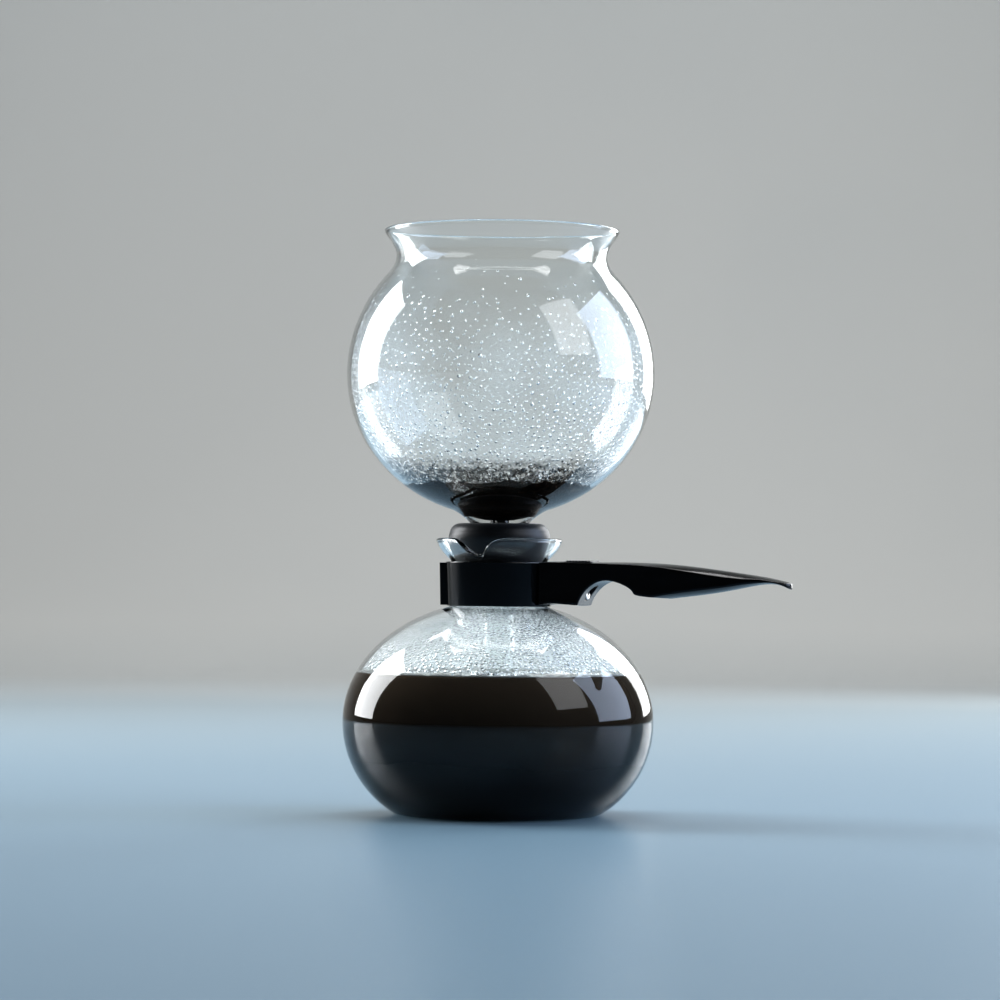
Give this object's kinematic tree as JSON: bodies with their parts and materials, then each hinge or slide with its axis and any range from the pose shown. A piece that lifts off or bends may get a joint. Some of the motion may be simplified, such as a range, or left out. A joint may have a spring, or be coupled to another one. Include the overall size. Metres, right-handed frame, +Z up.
{
  "type": "vacuum coffee maker",
  "caption": "Glass vacuum coffee maker: an open funnel globe with a long tube stands on a soft seal in the neck of a squashed glass carafe with a black collar and side handle.",
  "frame": {"origin": "centre of the carafe's flat base, on the glass axis", "axes": "+Z up along the glass axis; +X towards the tip of the handle; the pouring spout is cut in the lip towards -Y"},
  "size_m": [0.2245, 0.1522, 0.287],
  "materials": {
    "carafe_glass": "clear blown borosilicate glass",
    "funnel_glass": "clear blown borosilicate glass",
    "liner": "matte black soft strip",
    "black_gloss": "glossy black moulded plastic",
    "black_handle": "satin to gloss black moulded plastic",
    "black_grip": "ribbed satin black plastic",
    "steel": "bright stainless steel",
    "seal_silicone": "satin charcoal silicone",
    "gasket_silicone": "satin charcoal silicone",
    "filter_plastic": "satin black plastic",
    "filter_mesh": "fine woven nylon"
  },
  "bodies": {
    "carafe": {"carafe_glass": "carafe_glass", "neck_liner": "liner", "collar_band": "black_gloss", "handle": "black_handle", "thumb_grip": "black_grip", "clamp_yoke": "steel", "clamp_screw": "steel", "screw_washer": "steel"},
    "funnel": {"funnel_globe": "funnel_glass", "funnel_tube": "funnel_glass", "seal": "seal_silicone"},
    "filter": {"filter_base": "filter_plastic", "filter_gasket": "gasket_silicone", "filter_screen": "filter_mesh", "filter_cap": "filter_plastic", "filter_stem": "filter_plastic", "filter_knob": "filter_plastic"}
  },
  "joints": [
    {"name": "funnel_lift", "type": "slide", "parent": "carafe", "child": "funnel", "axis": [0, 0, 1], "range_m": [0, 0.14]},
    {"name": "filter_lift", "type": "slide", "parent": "funnel", "child": "filter", "axis": [0, 0, 1], "range_m": [0, 0.18]}
  ]
}
